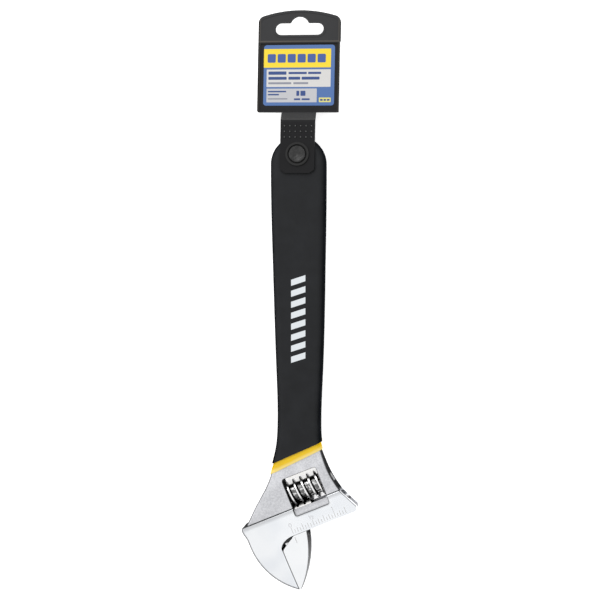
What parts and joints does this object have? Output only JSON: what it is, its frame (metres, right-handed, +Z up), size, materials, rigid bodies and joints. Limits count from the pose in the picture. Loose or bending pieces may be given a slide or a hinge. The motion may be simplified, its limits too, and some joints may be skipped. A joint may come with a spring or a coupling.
{
  "type": "adjustable wrench",
  "caption": "Adjustable open-end wrench with offset head, screw-driven sliding jaw, black dipped grip with a yellow band, and a hang tag riveted through the handle hole",
  "frame": {"origin": "bottom centre of the bounding box, under the middle of the lying wrench", "axes": "+Y along the handle towards the tag, +Z up out of the front face, +X to the side the movable jaw opens to"},
  "size_m": [0.0642, 0.322, 0.0162],
  "materials": {
    "forged_chrome": "satin plated, ground faces polished",
    "polished_chrome": "polished",
    "screw_chrome": "plated",
    "pin_steel": "plain",
    "yellow_plastisol": "matte dipped",
    "black_plastisol": "matte dipped, fine texture",
    "white_print": "printed",
    "tag_plastic": "moulded",
    "label_print": "printed film",
    "rivet_plastic": "moulded"
  },
  "bodies": {
    "frame": {"wrench_body": "forged_chrome", "worm_pin": "pin_steel", "worm_spring": "pin_steel", "grip_yellow_sleeve": "yellow_plastisol", "grip_black_sleeve": "black_plastisol", "grip_graphic": "white_print"},
    "jaw": {"movable_jaw": "polished_chrome"},
    "screw": {"worm_screw": "screw_chrome"},
    "tag": {"hang_tag": "tag_plastic", "tag_label": "label_print", "rivet_stud": "rivet_plastic", "rivet_cap": "rivet_plastic"}
  },
  "joints": [
    {"name": "jaw_slide", "type": "slide", "parent": "frame", "child": "jaw", "axis": [0.9239, 0.3827, 0], "range_m": [0, 0.029]},
    {"name": "worm_spin", "type": "hinge", "parent": "frame", "child": "screw", "pos_m": [0.00324, -0.10515, 0.0075], "axis": [0.9239, 0.3827, 0], "range_deg": [-2490, 0]},
    {"name": "tag_swivel", "type": "hinge", "parent": "frame", "child": "tag", "pos_m": [-0.00082, 0.08053, 0.01425], "axis": [0, 0, 1], "range_deg": [-100, 100]}
  ],
  "couplings": [
    {"joint": "worm_spin", "follows": "jaw_slide", "rad_per_m": -1496}
  ]
}
